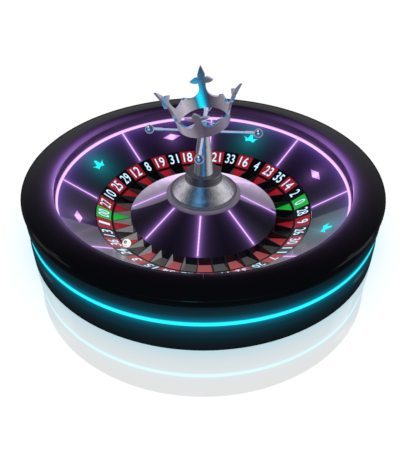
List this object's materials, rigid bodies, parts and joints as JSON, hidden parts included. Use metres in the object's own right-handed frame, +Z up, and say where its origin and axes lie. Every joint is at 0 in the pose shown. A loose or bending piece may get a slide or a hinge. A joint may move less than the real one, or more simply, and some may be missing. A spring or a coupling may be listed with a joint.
{
  "type": "roulette wheel",
  "caption": "Lit table-top roulette wheel: a round bowl with ball track and light ring, a numbered rotor on bearings, a turret with arms and a tilted crown, and a ball.",
  "frame": {"origin": "on the wheel's vertical axis, on the surface that the feet stand on", "axes": "+Z up along the axis of spin, -Y towards the front, +X to the right seen from the front"},
  "size_m": [0.8128, 0.8128, 0.3641],
  "materials": {
    "foot_rubber": "matt",
    "base_metal": "satin powder coat",
    "screw_steel": "satin",
    "body_gloss_black": "high-gloss lacquer",
    "track_gloss_black": "gloss",
    "apron_gloss_black": "gloss",
    "cyan_light": "lit diffuser",
    "purple_light": "lit diffuser",
    "circuit_board": "solder mask",
    "rib_plastic": "matt",
    "machined_steel": "machined",
    "bearing_steel": "ground",
    "carbon": "carbon",
    "brass": "bright",
    "nut_plate": "nickel plate",
    "rotor_aluminium": "turned",
    "ring_black": "gloss",
    "plate_red": "satin",
    "plate_black": "satin",
    "plate_green": "satin",
    "fin_metal": "satin",
    "cone_gloss_black": "gloss",
    "turret_silver": "turned",
    "turret_chrome": "polished",
    "crown_silver": "polished sheet",
    "ball_white": "polished"
  },
  "bodies": {
    "bowl": {"rubber_feet": "foot_rubber", "base_plate": "base_metal", "base_screws": "screw_steel", "lower_shell": "body_gloss_black", "deck_ring": "base_metal", "side_light_ring": "cyan_light", "side_led_strip": "circuit_board", "rim_cap": "body_gloss_black", "rim_screws": "screw_steel", "ball_track": "track_gloss_black", "track_light_ring": "purple_light", "track_led_strip": "circuit_board", "apron": "apron_gloss_black", "apron_light_bars": "purple_light", "diamond_lights": "purple_light", "crown_lights": "cyan_light", "apron_led_boards": "circuit_board", "apron_ribs": "rib_plastic", "spindle_flange": "machined_steel", "flange_bolts": "screw_steel", "spindle": "machined_steel", "lower_inner_race": "bearing_steel", "upper_inner_race": "bearing_steel", "bearing_spacer": "machined_steel", "spindle_washer": "screw_steel", "spindle_nut": "screw_steel", "brush_block": "rib_plastic", "brushes": "carbon", "led_driver_board": "circuit_board", "driver_standoffs": "brass", "power_inlet": "rib_plastic", "inlet_nut": "nut_plate"},
    "rotor": {"rotor_hub": "rotor_aluminium", "hub_bolts": "screw_steel", "lower_outer_race": "bearing_steel", "upper_outer_race": "bearing_steel", "rotor_pan": "rotor_aluminium", "slip_ring": "brass", "number_ring": "ring_black", "red_number_plates": "plate_red", "black_number_plates": "plate_black", "green_number_plates": "plate_green", "pocket_ring": "ring_black", "red_pockets": "plate_red", "black_pockets": "plate_black", "green_pockets": "plate_green", "separators": "fin_metal", "rotor_cone": "cone_gloss_black", "rotor_light_bars": "purple_light", "rotor_led_boards": "circuit_board", "turret_base": "turret_silver", "turret_rope_ring": "turret_silver", "turret_collar": "turret_silver", "turret_column": "turret_silver", "turret_arms": "turret_chrome", "turret_balls": "turret_chrome", "crown": "crown_silver"},
    "lower_cage": {"lower_bearing_cage": "brass"},
    "upper_cage": {"upper_bearing_cage": "brass"},
    "ball": {"ball": "ball_white"}
  },
  "joints": [
    {"name": "rotor_spin", "type": "hinge", "parent": "bowl", "child": "rotor", "pos_m": [0, 0, 0.05], "axis": [0, 0, 1], "continuous": true},
    {"name": "lower_cage_spin", "type": "hinge", "parent": "bowl", "child": "lower_cage", "pos_m": [0, 0, 0.044], "axis": [0, 0, 1], "continuous": true},
    {"name": "upper_cage_spin", "type": "hinge", "parent": "bowl", "child": "upper_cage", "pos_m": [0, 0, 0.07], "axis": [0, 0, 1], "continuous": true},
    {"name": "ball_orbit", "type": "hinge", "parent": "bowl", "child": "ball", "pos_m": [0, 0, 0.04], "axis": [0, 0, 1], "continuous": true}
  ],
  "couplings": [
    {"joint": "lower_cage_spin", "follows": "rotor_spin", "ratio": 0.6122},
    {"joint": "upper_cage_spin", "follows": "rotor_spin", "ratio": 0.6122}
  ]
}
